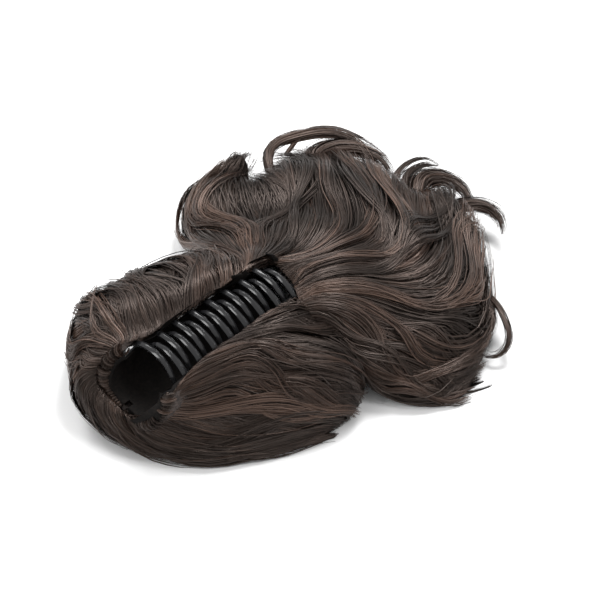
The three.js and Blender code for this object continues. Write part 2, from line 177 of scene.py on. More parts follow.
def sewn(side, angle, out=EDGE_OUT, along=None):
    """A point of the sewn edge; side is 1 on the far jaw and -1 on the near jaw."""
    turn = math.radians(angle)
    x = along
    if along is None:
        rise = (TUNNEL_DEEP + out) * math.sin(turn)
        share = (rise - MOUTH_BEND) / (TUNNEL_DEEP + MOUTH_RISE - MOUTH_BEND)
        x = -MOUTH_REACH + (MOUTH_REACH - MOUTH_TOP) * float(np.clip(share, 0, 1))
    narrow = narrowing(x)
    y = side * (TUNNEL_WIDE * narrow + out) * math.cos(turn)
    z = (TUNNEL_DEEP * narrow + out) * math.sin(turn)
    return tilted(x, y, z)


print("top of the mouth, far side:", sewn(1, CREST))

# %% [markdown]
# ## The flow of the hair
# Each row is a guide: a line that the hair's surface follows from root to tip. Places along and across
# the clip are shares of the hair's span and tops are shares of its height, read off the photo. The
# root is on the sewn edge: an angle at the mouth, or a share of the span along the top. Rows beside
# each other form a sheet, and all hair between them follows both.

# %% Guides of the crown, the tress and the tail
FRONT = [
    {
        "mouth": -80,
        "along": [-0.18, -0.19, -0.14, -0.06, 0.04, 0.18],
        "across": [0.05, -0.02, -0.13, -0.25, -0.35, -0.42],
        "tops": [0.42, 0.28, 0.19, 0.14, 0.1, 0.07],
    },
    {
        "mouth": -56,
        "along": [-0.2, -0.23, -0.22, -0.17, -0.08, 0.03],
        "across": [0.13, 0.09, 0.0, -0.13, -0.24, -0.34],
        "tops": [0.47, 0.37, 0.24, 0.15, 0.08, 0.05],
    },
    {
        "mouth": -32,
        "along": [-0.19, -0.24, -0.26, -0.26, -0.21, -0.13],
        "across": [0.21, 0.2, 0.16, 0.07, -0.06, -0.18],
        "tops": [0.53, 0.47, 0.34, 0.18, 0.08, 0.04],
    },
    {
        "mouth": -10,
        "along": [-0.17, -0.22, -0.25, -0.26, -0.25, -0.23],
        "across": [0.26, 0.29, 0.29, 0.24, 0.17, 0.07],
        "tops": [0.64, 0.58, 0.42, 0.25, 0.12, 0.05],
    },
]
CROWN = [
    {
        "mouth": 10,
        "along": [-0.12, -0.15, -0.17, -0.18, -0.18],
        "across": [0.28, 0.36, 0.42, 0.41, 0.39],
        "tops": [0.72, 0.66, 0.48, 0.25, 0.07],
    },
    {
        "mouth": 26,
        "along": [-0.07, -0.08, -0.09, -0.1, -0.1],
        "across": [0.28, 0.39, 0.48, 0.52, 0.53],
        "tops": [0.82, 0.8, 0.64, 0.38, 0.1],
    },
    {
        "mouth": 36,
        "along": [-0.02, 0.02, 0.03, 0.0, -0.01],
        "across": [0.23, 0.35, 0.48, 0.57, 0.6],
        "tops": [0.91, 0.96, 0.88, 0.56, 0.05],
    },
    {
        "crest": 0.04,
        "along": [0.07, 0.11, 0.15, 0.15, 0.14],
        "across": [0.17, 0.29, 0.45, 0.57, 0.62],
        "tops": [0.95, 1.03, 0.95, 0.62, 0.05],
    },
    {
        "crest": 0.14,
        "along": [0.18, 0.23, 0.28, 0.28, 0.27],
        "across": [0.16, 0.27, 0.43, 0.56, 0.63],
        "tops": [0.96, 1.05, 0.98, 0.64, 0.05],
    },
    {
        "crest": 0.24,
        "along": [0.27, 0.32, 0.38, 0.41, 0.42],
        "across": [0.15, 0.23, 0.38, 0.52, 0.59],
        "tops": [0.96, 1.05, 0.99, 0.66, 0.05],
    },
    {
        "crest": 0.35,
        "along": [0.38, 0.42, 0.5, 0.55, 0.58],
        "across": [0.15, 0.22, 0.33, 0.45, 0.52],
        "tops": [0.96, 1.03, 0.95, 0.64, 0.05],
    },
    {
        "crest": 0.46,
        "along": [0.49, 0.54, 0.6, 0.66, 0.69],
        "across": [0.16, 0.23, 0.32, 0.42, 0.48],
        "tops": [0.95, 0.97, 0.86, 0.55, 0.05],
    },
    {
        "crest": 0.57,
        "along": [0.6, 0.66, 0.72, 0.78, 0.81],
        "across": [0.15, 0.2, 0.28, 0.38, 0.44],
        "tops": [0.94, 0.92, 0.78, 0.46, 0.05],
    },
]
TRESS = [
    {
        "crest": 0.62,
        "along": [0.66, 0.7, 0.74, 0.76, 0.77],
        "across": [-0.08, -0.1, -0.15, -0.21, -0.27],
        "tops": [0.88, 0.8, 0.66, 0.48, 0.28],
    },
    {
        "crest": 0.42,
        "along": [0.46, 0.55, 0.63, 0.7, 0.74, 0.75],
        "across": [-0.08, -0.1, -0.15, -0.22, -0.31, -0.37],
        "tops": [0.94, 0.91, 0.84, 0.7, 0.5, 0.28],
    },
    {
        "crest": 0.2,
        "along": [0.26, 0.4, 0.51, 0.61, 0.67, 0.69, 0.69, 0.64],
        "across": [-0.09, -0.13, -0.2, -0.3, -0.4, -0.44, -0.43, -0.39],
        "tops": [0.95, 0.96, 0.9, 0.77, 0.58, 0.36, 0.12, 0.03],
    },
    {
        "crest": 0.08,
        "along": [0.13, 0.25, 0.37, 0.51, 0.61, 0.66, 0.67, 0.61],
        "across": [-0.09, -0.13, -0.19, -0.28, -0.38, -0.45, -0.46, -0.42],
        "tops": [0.94, 0.98, 0.97, 0.9, 0.7, 0.42, 0.12, 0.03],
    },
    {
        "mouth": 36,
        "along": [0.03, 0.19, 0.33, 0.46, 0.56, 0.62, 0.63, 0.57],
        "across": [-0.1, -0.16, -0.24, -0.34, -0.43, -0.49, -0.49, -0.45],
        "tops": [0.85, 0.9, 0.9, 0.82, 0.65, 0.35, 0.11, 0.03],
    },
    {
        "mouth": 14,
        "along": [-0.03, 0.13, 0.31, 0.48, 0.58, 0.61, 0.55],
        "across": [-0.11, -0.18, -0.28, -0.4, -0.48, -0.5, -0.46],
        "tops": [0.75, 0.76, 0.74, 0.58, 0.33, 0.11, 0.03],
    },
    {
        "mouth": -10,
        "along": [-0.09, 0.03, 0.2, 0.37, 0.52, 0.59, 0.53],
        "across": [-0.09, -0.17, -0.29, -0.4, -0.49, -0.51, -0.47],
        "tops": [0.65, 0.56, 0.54, 0.47, 0.31, 0.11, 0.03],
    },
    {
        "mouth": -36,
        "along": [-0.14, -0.08, 0.02, 0.18, 0.36, 0.52, 0.57, 0.5],
        "across": [-0.04, -0.12, -0.23, -0.35, -0.46, -0.51, -0.52, -0.49],
        "tops": [0.54, 0.42, 0.34, 0.32, 0.29, 0.17, 0.08, 0.03],
    },
    {
        "mouth": -64,
        "along": [-0.18, -0.16, -0.1, 0.01, 0.19, 0.4, 0.53, 0.47],
        "across": [0.02, -0.06, -0.17, -0.3, -0.4, -0.49, -0.52, -0.49],
        "tops": [0.45, 0.32, 0.24, 0.2, 0.18, 0.13, 0.07, 0.03],
    },
    {
        "mouth": -84,
        "along": [-0.19, -0.19, -0.14, -0.04, 0.11, 0.3, 0.45, 0.4],
        "across": [0.05, -0.03, -0.14, -0.27, -0.37, -0.46, -0.51, -0.48],
        "tops": [0.44, 0.3, 0.21, 0.16, 0.13, 0.1, 0.06, 0.03],
    },
]
TAIL = [
    {
        "crest": 0.5,
        "along": [0.56, 0.62, 0.66, 0.75, 0.9, 1.05, 1.16, 1.19],
        "across": [0.17, 0.27, 0.5, 0.75, 0.85, 0.83, 0.82, 0.8],
        "tops": [0.95, 0.88, 0.62, 0.44, 0.42, 0.44, 0.32, 0.12],
    },
    {
        "crest": 0.54,
        "along": [0.59, 0.65, 0.69, 0.76, 0.86, 0.98, 1.12, 1.22],
        "across": [0.17, 0.24, 0.38, 0.57, 0.71, 0.8, 0.86, 0.88],
        "tops": [0.96, 0.92, 0.78, 0.64, 0.57, 0.53, 0.42, 0.08],
    },
    {
        "crest": 0.58,
        "along": [0.63, 0.7, 0.79, 0.89, 1.0, 1.07, 1.13, 1.22],
        "across": [0.16, 0.2, 0.24, 0.3, 0.4, 0.52, 0.68, 0.85],
        "tops": [0.97, 0.93, 0.85, 0.76, 0.68, 0.62, 0.53, 0.1],
    },
    {
        "crest": 0.62,
        "along": [0.67, 0.79, 0.95, 1.07, 1.17, 1.25, 1.32],
        "across": [0.15, 0.17, 0.23, 0.33, 0.48, 0.66, 0.86],
        "tops": [0.97, 0.9, 0.82, 0.76, 0.7, 0.6, 0.12],
    },
    {
        "crest": 0.68,
        "along": [0.73, 0.87, 1.03, 1.16, 1.27, 1.37, 1.44],
        "across": [0.12, 0.08, 0.12, 0.24, 0.42, 0.63, 0.84],
        "tops": [0.95, 0.9, 0.85, 0.8, 0.7, 0.57, 0.12],
    },
    {
        "crest": 0.7,
        "along": [0.75, 0.9, 1.08, 1.22, 1.34, 1.46, 1.56],
        "across": [0.08, 0.02, 0.01, 0.1, 0.26, 0.49, 0.75],
        "tops": [0.95, 0.9, 0.84, 0.8, 0.7, 0.6, 0.12],
    },
    {
        "along": [0.7, 0.77, 0.93, 1.14, 1.27, 1.39, 1.52, 1.64],
        "across": [0.01, 0.01, -0.04, -0.08, -0.03, 0.09, 0.29, 0.56],
        "tops": [0.85, 0.95, 0.9, 0.83, 0.8, 0.72, 0.62, 0.12],
    },
    {
        "along": [0.67, 0.76, 0.91, 1.11, 1.22, 1.38, 1.53, 1.68],
        "across": [-0.04, -0.07, -0.12, -0.22, -0.24, -0.14, 0.06, 0.32],
        "tops": [0.9, 0.96, 0.88, 0.76, 0.75, 0.7, 0.62, 0.12],
    },
    {
        "along": [0.65, 0.75, 0.94, 1.15, 1.34, 1.51, 1.66, 1.79],
        "across": [-0.08, -0.11, -0.21, -0.36, -0.32, -0.17, 0.02, 0.26],
        "tops": [0.9, 0.96, 0.84, 0.67, 0.6, 0.58, 0.54, 0.1],
    },
    {
        "along": [0.63, 0.73, 0.9, 1.09, 1.3, 1.47, 1.62, 1.75],
        "across": [-0.1, -0.14, -0.28, -0.46, -0.48, -0.37, -0.22, -0.03],
        "tops": [0.88, 0.93, 0.78, 0.56, 0.45, 0.42, 0.38, 0.12],
    },
    {
        "along": [0.6, 0.69, 0.8, 0.94, 1.07, 1.22, 1.37, 1.5],
        "across": [-0.11, -0.16, -0.28, -0.45, -0.58, -0.61, -0.5, -0.36],
        "tops": [0.87, 0.9, 0.8, 0.55, 0.36, 0.28, 0.2, 0.08],
    },
    {
        "along": [0.59, 0.67, 0.74, 0.84, 0.99, 1.15, 1.3],
        "across": [-0.13, -0.19, -0.32, -0.5, -0.64, -0.67, -0.62],
        "tops": [0.8, 0.84, 0.72, 0.42, 0.24, 0.16, 0.07],
    },
    {
        "along": [0.62, 0.67, 0.7, 0.77, 0.88, 1.02, 1.16],
        "across": [-0.18, -0.25, -0.37, -0.52, -0.65, -0.7, -0.7],
        "tops": [0.7, 0.72, 0.58, 0.32, 0.16, 0.1, 0.06],
    },
]

CREST_ROOT = CREST + 14
CREST_OUT = EDGE_OUT - 1.5
GUIDE_STATIONS = 36


def guides(rows, side):
    """The guides of a table, each from its root on the sewn edge, at evenly spaced places."""
    lines = []
    for row in rows:
        places = np.stack([row["along"], row["across"], row["tops"]], axis=1) * [SPAN, SPAN, HEIGHT]
        if "mouth" in row:
            places = np.concatenate([[sewn(side, row["mouth"])], places])
        if "crest" in row:
            root = sewn(side, CREST_ROOT, CREST_OUT, row["crest"] * SPAN)
            places = np.concatenate([[root], places])
        lines.append(evenly(places, GUIDE_STATIONS))
    return np.array(lines)


crown_guides = guides(FRONT + CROWN, 1)
tress_guides = guides(TRESS, -1)
tail_guides = guides(TAIL, 1)
print("guides:", len(crown_guides), len(tress_guides), len(tail_guides))

# %% [markdown]
# ## Sheets
# A sheet holds the guides with all that lies between them. At an outer side the hair has to roll down
# to the surface, so the sheet gains two more rows there: one a little out and down, the next further.

# %% Building a sheet
NEAR_SHARE = 0.66
RIPPLES = 3.0
PER_ROW = 24


def rolled(lines, outward, first, reach):
    """The sheet's rows with two more beside its first or last row, rolling down to the surface."""
    edge = lines[0] if first else lines[-1]
    ahead = np.gradient(edge, axis=0)
    side = unit(np.stack([-ahead[:, 1], ahead[:, 0], 0 * ahead[:, 0]], axis=1)) * outward
    grow = smooth(np.linspace(0, 1, len(edge)) / 0.4)[:, None]
    near = edge + side * NEAR_SHARE * reach * LOCK * grow
    outer = edge + side * reach * LOCK * grow
    near[:, 2] *= 1 - 0.3 * grow[:, 0]
    outer[:, 2] *= 1 - 0.8 * grow[:, 0]
    rows = [outer, near] if first else [near, outer]
    return np.concatenate([rows, lines]) if first else np.concatenate([lines, rows])


def sheet(lines, ripple):
    """A grid of points over the guides, with a soft ripple that runs across neighbouring locks."""
    rows = np.linspace(0, len(lines) - 1, (len(lines) - 1) * PER_ROW + 1)
    points = through(lines, rows)
    share = np.linspace(0, 1, points.shape[1])[None, :]
    phase = 0.9 * np.sin(0.9 * rows)[:, None] + 0.5 * rows[:, None]
    fade = smooth(share / 0.3) * smooth((points[..., 2] - 3) / 8)
    points[..., 2] += ripple * fade * np.sin(2 * math.pi * RIPPLES * share + phase)
    along = unit(np.gradient(points, axis=1))
    across = unit(np.gradient(points, axis=0))
    normal = unit(np.cross(along, across))
    normal *= math.copysign(1, normal[..., 2].mean())
    return {"points": points, "normal": normal, "rows": len(lines) - 1}


def on_sheet(field, key, row, share):
    """A sheet's points or normals at fractional rows and shares of the way from root to tip."""
    grid = field[key]
    a = np.clip(row * PER_ROW, 0, grid.shape[0] - 1.001)
    b = np.clip(share * (grid.shape[1] - 1), 0, grid.shape[1] - 1.001)
    i = a.astype(int)
    j = b.astype(int)
    s = (a - i)[..., None]
    t = (b - j)[..., None]
    low = grid[i, j] * (1 - t) + grid[i, j + 1] * t
    high = grid[i + 1, j] * (1 - t) + grid[i + 1, j + 1] * t
    return low * (1 - s) + high * s


crown_sheet = sheet(crown_guides, 0.6)
tress_sheet = sheet(rolled(tress_guides, -1, False, 0.12), 0.9)
tail_sheet = sheet(rolled(rolled(tail_guides, 1, True, 0.12), -1, False, 0.2), 1.5)
print("rows of the sheets:", crown_sheet["rows"], tress_sheet["rows"], tail_sheet["rows"])

# %% [markdown]
# ## Locks, wisps and strands
# False hair hangs together in locks of about a finger's width, each made of wisps, each made of single
# fibres. Strands are spread evenly at the roots, and draw together towards their wisp and lock on the
# way to the tip. That leaves the valleys between locks, and the pointed ends. Some strands lie deeper
# the nearer they are to their tip, and fill the thickness of the ends.

# %% Laying strands on a sheet
TIP_START = 0.62
STRAY_SHARE = 0.03
STRAY_RISE = 2.2
STRAY_DRIFT = 3


def comb(field, low, high, locks, wisps, strands, stations, look):
    """Lines of strands between two rows of a sheet: their points, their normals and their tints."""
    lock = np.repeat(np.arange(locks), wisps * strands)
    wisp = np.repeat(np.arange(locks * wisps), strands)
    count = len(lock)
    width = (high - low) / locks
    centre = low + (np.arange(locks) + 0.5) * width + rng.uniform(-0.2, 0.2, locks) * width
    off_lock = np.tile((np.arange(wisps) + 0.5) / wisps * 2 - 1, locks)
    off_lock = off_lock + rng.uniform(-0.2, 0.2, locks * wisps)
    off_wisp = rng.normal(0, 0.5, count)
    size = rng.uniform(0.75, 1.25, locks)[lock][:, None]
    share = np.linspace(0, 1, stations)[None, :]
    start = look.get("late", 0) + rng.uniform(0, 1, count) ** 2.5 * look["root"]
    length = 1 - look["ragged"] * (
        0.45 * rng.uniform(0, 1, locks)[lock] + 0.35 * rng.uniform(0, 1, locks * wisps)[wisp]
        + 0.2 * rng.uniform(0, 1, count))
    place = start[:, None] + (length - start)[:, None] * share
    mass = smooth((place - 0.05) / look["full"])
    tip = smooth((share - TIP_START) / 0.38)
    spread_lock = 1.04 - look["gather"] * smooth(place / 0.55)
    spread_wisp = (0.3 - 0.14 * mass) * (1 - 0.75 * tip)
    phase_lock = rng.uniform(0, 1, locks)[lock][:, None]
    sway = rng.uniform(-1, 1, locks)[lock][:, None] * np.sin(2 * math.pi * (place * 0.9 + phase_lock))
    wander = rng.uniform(-1, 1, locks * wisps)[wisp][:, None] * np.sin(
        2 * math.pi * (place * 1.3 + rng.uniform(0, 1, locks * wisps)[wisp][:, None]))
    row = centre[lock][:, None] + width * 0.5 * (
        off_lock[wisp][:, None] * spread_lock * size
        + off_wisp[:, None] * spread_wisp * 2
        + look["sway"] * sway * mass
        + look["sway"] * 0.5 * wander * mass)
    row = row + rng.normal(0, look["loose"], count)[:, None] * width * (place - 0.3)
    if "eye" in look:
        eye = look["eye"]
        away = (row - eye["row"]) / eye["half"]
        open_share = np.sin(math.pi * np.clip((place - eye["from"]) / eye["long"], 0, 1)) ** 2
        beside = np.sign(away.mean(axis=1))[:, None]
        wanted = beside * np.sqrt(away**2 + open_share * (eye["push"] / eye["half"]) ** 2)
        near = np.exp(-0.4 * away**2) * smooth(open_share * 3)
        row = eye["row"] + eye["half"] * (away * (1 - near) + wanted * near)
    row = np.clip(row, max(low - 0.4 * width, 0), min(high + 0.4 * width, field["rows"]))
    points = on_sheet(field, "points", row, place)
    normal = unit(on_sheet(field, "normal", row, place))
    side = unit(np.cross(normal, np.gradient(points, axis=1)))
    deep = look["depth"] * rng.uniform(0, 1, count)[:, None] * smooth(place / 0.15)
    layer = look["layer"] * rng.uniform(0, 1, locks)[lock][:, None]
    edge = off_lock[wisp][:, None] + off_wisp[:, None] * spread_wisp
    valley = look["valley"] * edge**2 * (0.25 + 0.75 * mass) * (0.4 + 0.6 * size)
    phase = (rng.uniform(0, 2 * math.pi, locks)[lock] + rng.normal(0, 0.4, locks * wisps)[wisp])[:, None]
    wave = look["wave"] * mass * np.sin(2 * math.pi * place * look["waves"] + phase)
    hook = rng.normal(0, look["hook"], locks * wisps)[wisp][:, None] * smooth((share - 0.6) / 0.4) ** 2
    lift = 0.3 * wave - deep - layer * mass - valley
    stray = (rng.uniform(0, 1, count) < STRAY_SHARE)[:, None] * rng.uniform(0.4, 1, count)[:, None]
    lift = lift + stray * STRAY_RISE * np.sin(math.pi * share)
    shift = wave * 0.8 + hook + stray * STRAY_DRIFT * rng.normal(0, 1, count)[:, None] * smooth(share)
    points = points + normal * lift[..., None] + side * shift[..., None]
    sink = (rng.uniform(0, 1, count) < look["under"])[:, None] * rng.uniform(0.1, 1, count)[:, None]
    points[..., 2] *= 1 - sink * (0.1 + 0.85 * smooth((place - 0.45) / 0.5))
    # Tone at random per lock, wisp and strand; painted shade darkens the strands that sink and those at a
    # lock's edges, in the valleys between locks.
    tint = look["tint"] + 0.22 * rng.normal(0, 1, locks)[lock] + 0.13 * rng.normal(0, 1, locks * wisps)[wisp]
    tint = tint + 0.13 * rng.normal(0, 1, count) - 0.2 * sink[:, 0] - 0.12 * off_lock[wisp] ** 2
    return points, normal, np.clip(tint, 0, 1)


# %% [markdown]
# ## From lines to ribbons
# A fibre is far thinner than a pixel, so a flat ribbon of two vertices across stands for a few fibres
# lying side by side. Its shading normals lean out to both sides, which makes it catch light as a
# round fibre does, at a third of the triangles of a tube.

# %% Ribbons as one mesh
RIBBON_LEAN = 0.35
ROUNDNESS = 0.6
RIBBON_LOW = 0.15


def ribbons(name, lines, normals, tints, width):
    """One mesh of ribbons along the lines, which thin towards root and tip."""
    count, stations, _ = lines.shape
    along = unit(np.gradient(lines, axis=1))
    side = unit(np.cross(along, normals))
    up = np.cross(side, along)
    lean = rng.normal(0, RIBBON_LEAN, count)[:, None, None]
    flat = unit(side * np.cos(lean) + up * np.sin(lean))
    face = np.cross(flat, along)
    share = np.linspace(0, 1, stations)[None, :, None]
    taper = np.minimum(1, 0.55 + share * 4) * (1 - 0.75 * smooth((share - 0.65) / 0.35))
    half = 0.5 * width * rng.uniform(0.7, 1.3, count)[:, None, None] * taper
    points = np.stack([lines - flat * half, lines + flat * half], axis=2)
    points[..., 2] = np.maximum(points[..., 2], RIBBON_LOW)
    shading = np.stack([unit(face - flat * ROUNDNESS), unit(face + flat * ROUNDNESS)], axis=2)
    vertices = ((points + ORIGIN) * MM).reshape(-1, 3)
    first = (np.arange(count)[:, None] * stations + np.arange(stations - 1)[None, :]).reshape(-1) * 2
    quads = np.stack([first, first + 1, first + 3, first + 2], axis=1)
    mesh = bpy.data.meshes.new(name)
    mesh.vertices.add(len(vertices))
    mesh.vertices.foreach_set("co", vertices.ravel())
    mesh.loops.add(quads.size)
    mesh.loops.foreach_set("vertex_index", quads.ravel().astype(np.int32))
    mesh.polygons.add(len(quads))
    mesh.polygons.foreach_set("loop_start", np.arange(0, quads.size, 4, dtype=np.int32))
    mesh.update(calc_edges=True)
    tint = mesh.attributes.new("tint", "FLOAT", "POINT")
    tint.data.foreach_set("value", np.repeat(tints, stations * 2).astype(np.float32))
    mesh.shade_smooth()
    mesh.normals_split_custom_set_from_vertices(shading.reshape(-1, 3))
    obj = bpy.data.objects.new(name, mesh)
    bpy.context.scene.collection.objects.link(obj)
    print(name, "has", count, "ribbons and", 2 * len(quads), "triangles")
    return obj


# %% [markdown]
# ## Materials
# Every finish is a node tree of its own. The hair is a dark espresso brown with a soft, warm sheen,
# and each ribbon's own tint makes it a little lighter or darker: random tone, with painted shade in the
# valleys between locks, in sunk strands and in the layer below the locks. Hair, underlayer, plastic and
# thread share one grain, a node group that each material places with its own values.

# %% Material helpers
def new_material(name):
    material = bpy.data.materials.new(name)
    material.use_nodes = True
    nodes = material.node_tree.nodes
    return material, nodes, material.node_tree.links, nodes["Principled BSDF"]


def add(nodes, kind, **settings):
    node = nodes.new(kind)
    for key, value in settings.items():
        setattr(node, key, value)
    return node


def ramp(nodes, stops):
    node = nodes.new("ShaderNodeValToRGB")
    while len(node.color_ramp.elements) < len(stops):
        node.color_ramp.elements.new(0.5)
    for element, (place, colour) in zip(node.color_ramp.elements, stops):
        element.position = place
        element.color = (*colour, 1)
    return node


# %% Grain shared by the materials
def grain_group():
    """Grain over a surface: a noise of a given scale whose amount runs from Low to High."""
    group = bpy.data.node_groups.new("grain", "ShaderNodeTree")
    for name in ("Scale", "Low", "High"):
        group.interface.new_socket(name, in_out="INPUT", socket_type="NodeSocketFloat")
    group.interface.new_socket("Amount", in_out="OUTPUT", socket_type="NodeSocketFloat")
    nodes = group.nodes
    links = group.links
    start = add(nodes, "NodeGroupInput")
    end = add(nodes, "NodeGroupOutput")
    place = add(nodes, "ShaderNodeTexCoord")
    noise = add(nodes, "ShaderNodeTexNoise")
    noise.inputs["Detail"].default_value = 1.5
    level = add(nodes, "ShaderNodeMapRange")
    level.inputs["From Min"].default_value = 0.3
    level.inputs["From Max"].default_value = 0.7
    links.new(place.outputs["Object"], noise.inputs["Vector"])
    links.new(start.outputs["Scale"], noise.inputs["Scale"])
    links.new(noise.outputs["Fac"], level.inputs["Value"])
    links.new(start.outputs["Low"], level.inputs["To Min"])
    links.new(start.outputs["High"], level.inputs["To Max"])
    links.new(level.outputs["Result"], end.inputs["Amount"])
    return group


def grain(nodes, scale, low, high):
    """The shared grain placed in a material with its own values."""
    node = add(nodes, "ShaderNodeGroup", node_tree=GRAIN)
    node.inputs["Scale"].default_value = scale
    node.inputs["Low"].default_value = low
    node.inputs["High"].default_value = high
    return node.outputs["Amount"]


GRAIN = grain_group()
print("grain group made")

# %% Hair
def hair_material():
    material, nodes, links, shader = new_material("hair fibre")
    tint = add(nodes, "ShaderNodeAttribute", attribute_name="tint")
    total = add(nodes, "ShaderNodeMath", operation="ADD")
    links.new(tint.outputs["Fac"], total.inputs[0])
    links.new(grain(nodes, 55, -0.2, 0.2), total.inputs[1])
    colours = ramp(nodes, [
        (0.0, (0.0032, 0.0023, 0.0016)),
        (0.42, (0.0102, 0.0063, 0.0045)),
        (0.75, (0.032, 0.0182, 0.0128)),
        (1.0, (0.08, 0.048, 0.035)),
    ])
    links.new(total.outputs["Value"], colours.inputs["Fac"])
    links.new(colours.outputs["Color"], shader.inputs["Base Color"])
    shader.inputs["Roughness"].default_value = 0.38
    shader.inputs["Specular IOR Level"].default_value = 0.55
    shader.inputs["Specular Tint"].default_value = (1.0, 0.79, 0.7, 1)
    return material


def shaded_under_material():
    material, nodes, links, shader = new_material("hair underlayer")
    # Near black: the hidden layers are the same hair, and this colour is their painted shade.
    colours = ramp(nodes, [(0.0, (0.002, 0.0015, 0.0013)), (1.0, (0.007, 0.005, 0.004))])
    links.new(grain(nodes, 900, 0, 1), colours.inputs["Fac"])
    links.new(colours.outputs["Color"], shader.inputs["Base Color"])
    shader.inputs["Roughness"].default_value = 0.8
    shader.inputs["Specular IOR Level"].default_value = 0.15
    return material


hair = hair_material()
under = shaded_under_material()
print("hair materials made")

# %% [markdown]
# ## The bed under the strands
# Under the strands seen singly lie hundreds of layers that nobody sees. A near-black surface a little
# below the sheet stands for them, coloured as their painted shade, and stops light from passing. It
# comes down to the ground at its end, a little before the tips, so that only loose ends stand out past it.

# %% Beds
BED_STEP = 4
BED_LOW = 0.4


def shade_sheet(name, points, rows, stations):
    """A surface in painted shade through a grid of points, so many rows by so many stations."""
    first = (np.arange(rows - 1)[:, None] * stations + np.arange(stations - 1)[None, :]).reshape(-1)
    faces = np.stack([first, first + 1, first + stations + 1, first + stations], axis=1)
    mesh = bpy.data.meshes.new(name)
    mesh.from_pydata(((points + ORIGIN) * MM).reshape(-1, 3).tolist(), [], faces.tolist())
    mesh.shade_smooth()
    mesh.materials.append(under)
    obj = bpy.data.objects.new(name, mesh)
    bpy.context.scene.collection.objects.link(obj)
    print(name, "has", len(faces), "faces")
    return obj


def joint_ride(obj, body):
    """Let a piece ride on its body, or bake its place into its mesh where it has none."""
    if body:
        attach(obj, body)
        return
    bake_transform(obj)


def bed(name, body, field, low, high, until, depth, nodes=()):
    """A shell in painted shade so deep below a sheet's rows, closed down to the ground at its end."""
    first = int(round(low * PER_ROW))
    last = int(round(high * PER_ROW)) + 1
    stop = int(round(until * (field["points"].shape[1] - 1))) + 1
    points = field["points"][first:last:BED_STEP, :stop].copy()
    normal = field["normal"][first:last:BED_STEP, :stop]
    share = np.linspace(0, 1, stop)[None, :, None]
    points -= normal * depth * (0.45 + 0.55 * smooth(share / 0.25))
    ends = points[:, -1:].copy()
    ahead = unit(points[:, -1:] - points[:, -4:-3]) * [1, 1, 0]
    skirts = [ends + ahead * 0.4, ends + ahead * 0.2]
    skirts[0][..., 2] *= 0.5
    skirts[1][..., 2] = BED_LOW
    points = np.concatenate([points] + skirts, axis=1)
    points[..., 2] = np.maximum(points[..., 2], BED_LOW)
    obj = shade_sheet(name, points, *points.shape[:2])
    joint_ride(obj, body)
    for node in nodes:
        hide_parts(node)


FRONT_ROWS = len(FRONT)
crown_rows = crown_sheet["rows"]
tress_rows = tress_sheet["rows"]
tail_rows = tail_sheet["rows"]
bed("front_bed", None, crown_sheet, 0, FRONT_ROWS - 0.5, 0.72, 2.2)
bed("crown_bed", "left_side", crown_sheet, FRONT_ROWS - 0.6, crown_rows, 0.94, 4.0, ["left_crown_hair"])
bed("tress_bed", "right_side", tress_sheet, 0, tress_rows, 0.88, 4.6, ["right_tress_hair"])
bed("tail_left_bed", "left_side", tail_sheet, 0, 5.75, 0.9, 5.0, ["tail_hair_left"])
bed("tail_middle_bed", "left_side", tail_sheet, 5.5, 9.75, 0.9, 5.0, ["tail_hair_middle"])
bed("tail_right_bed", "left_side", tail_sheet, 9.5, tail_rows, 0.9, 4.0, ["tail_hair_right"])

# %% [markdown]
# ## Growing the hair
# Each part is combed from its sheet with its own number of locks, over a finer layer that isn't
# gathered into locks and is darkened as painted shade. The tail is one sheet cut in three, so that its
# waves run on from part to part. A few crossing locks lie over the crown, the tress and the tail. The
# near tress rides on the near jaw, the crown and the tail on the far one, and the front piece rides on
# neither jaw.
#
# A look holds the numbers of one layer: where its locks are full, how uneven its roots and ends are,
# how far strands gather, their depth, the layers of locks and the valleys between them, the height and
# number of waves, the sway and looseness of strands, the hooks of the ends, the share that sinks under,
# and the tint. The crown's look also has an eye, a place where its hair parts.

# %% Combing every part
CROWN_LOOK = {
    "full": 0.3,
    "root": 0.2, "ragged": 0.04, "gather": 0.45, "depth": 1.2, "layer": 1.6, "valley": 2.2,
    "wave": 2.6, "waves": 1.6, "sway": 2.2, "loose": 0.35, "hook": 2.0, "under": 0.04, "tint": 0.44,
    "eye": {"row": 6.0, "half": 0.6, "push": 0.1, "from": 0.12, "long": 0.7},
}
FRONT_LOOK = {
    "full": 0.5,
    "root": 0.1, "ragged": 0.12, "gather": 0.2, "depth": 1.2, "layer": 0.7, "valley": 0.8,
    "wave": 0.8, "waves": 1.5, "sway": 0.9, "loose": 0.2, "hook": 0.6, "under": 0.04, "tint": 0.42,
}
TRESS_LOOK = {
    "full": 0.6,
    "root": 0.15, "ragged": 0.04, "gather": 0.45, "depth": 1.2, "layer": 1.6, "valley": 2.2,
    "wave": 1.9, "waves": 1.7, "sway": 1.8, "loose": 0.24, "hook": 0.8, "under": 0.0, "tint": 0.48,
}
TAIL_LOOK = {
    "full": 0.8,
    "root": 0.1, "ragged": 0.14, "gather": 0.6, "depth": 1.2, "layer": 2.8, "valley": 5.6,
    "wave": 2.4, "waves": 2.2, "sway": 1.5, "loose": 0.24, "hook": 3.4, "under": 0.14, "tint": 0.49,
}
OVER_LOOK = {
    "full": 0.5,
    "root": 0.3, "ragged": 0.25, "gather": 0.75, "depth": -1.4, "layer": -0.6, "valley": 1.2,
    "wave": 3.2, "waves": 1.9, "sway": 2.6, "loose": 0.3, "hook": 3.0, "under": 0.0, "tint": 0.56,
}


CROWN_OVER = {**OVER_LOOK, "root": 0.15, "wave": 2.4}
TRESS_OVER = {**OVER_LOOK, "wave": 2.2, "hook": 1.0}
LOCK_WIDE = 0.4
BASE_WIDE = 0.6
BEAD_WIDE = 0.42


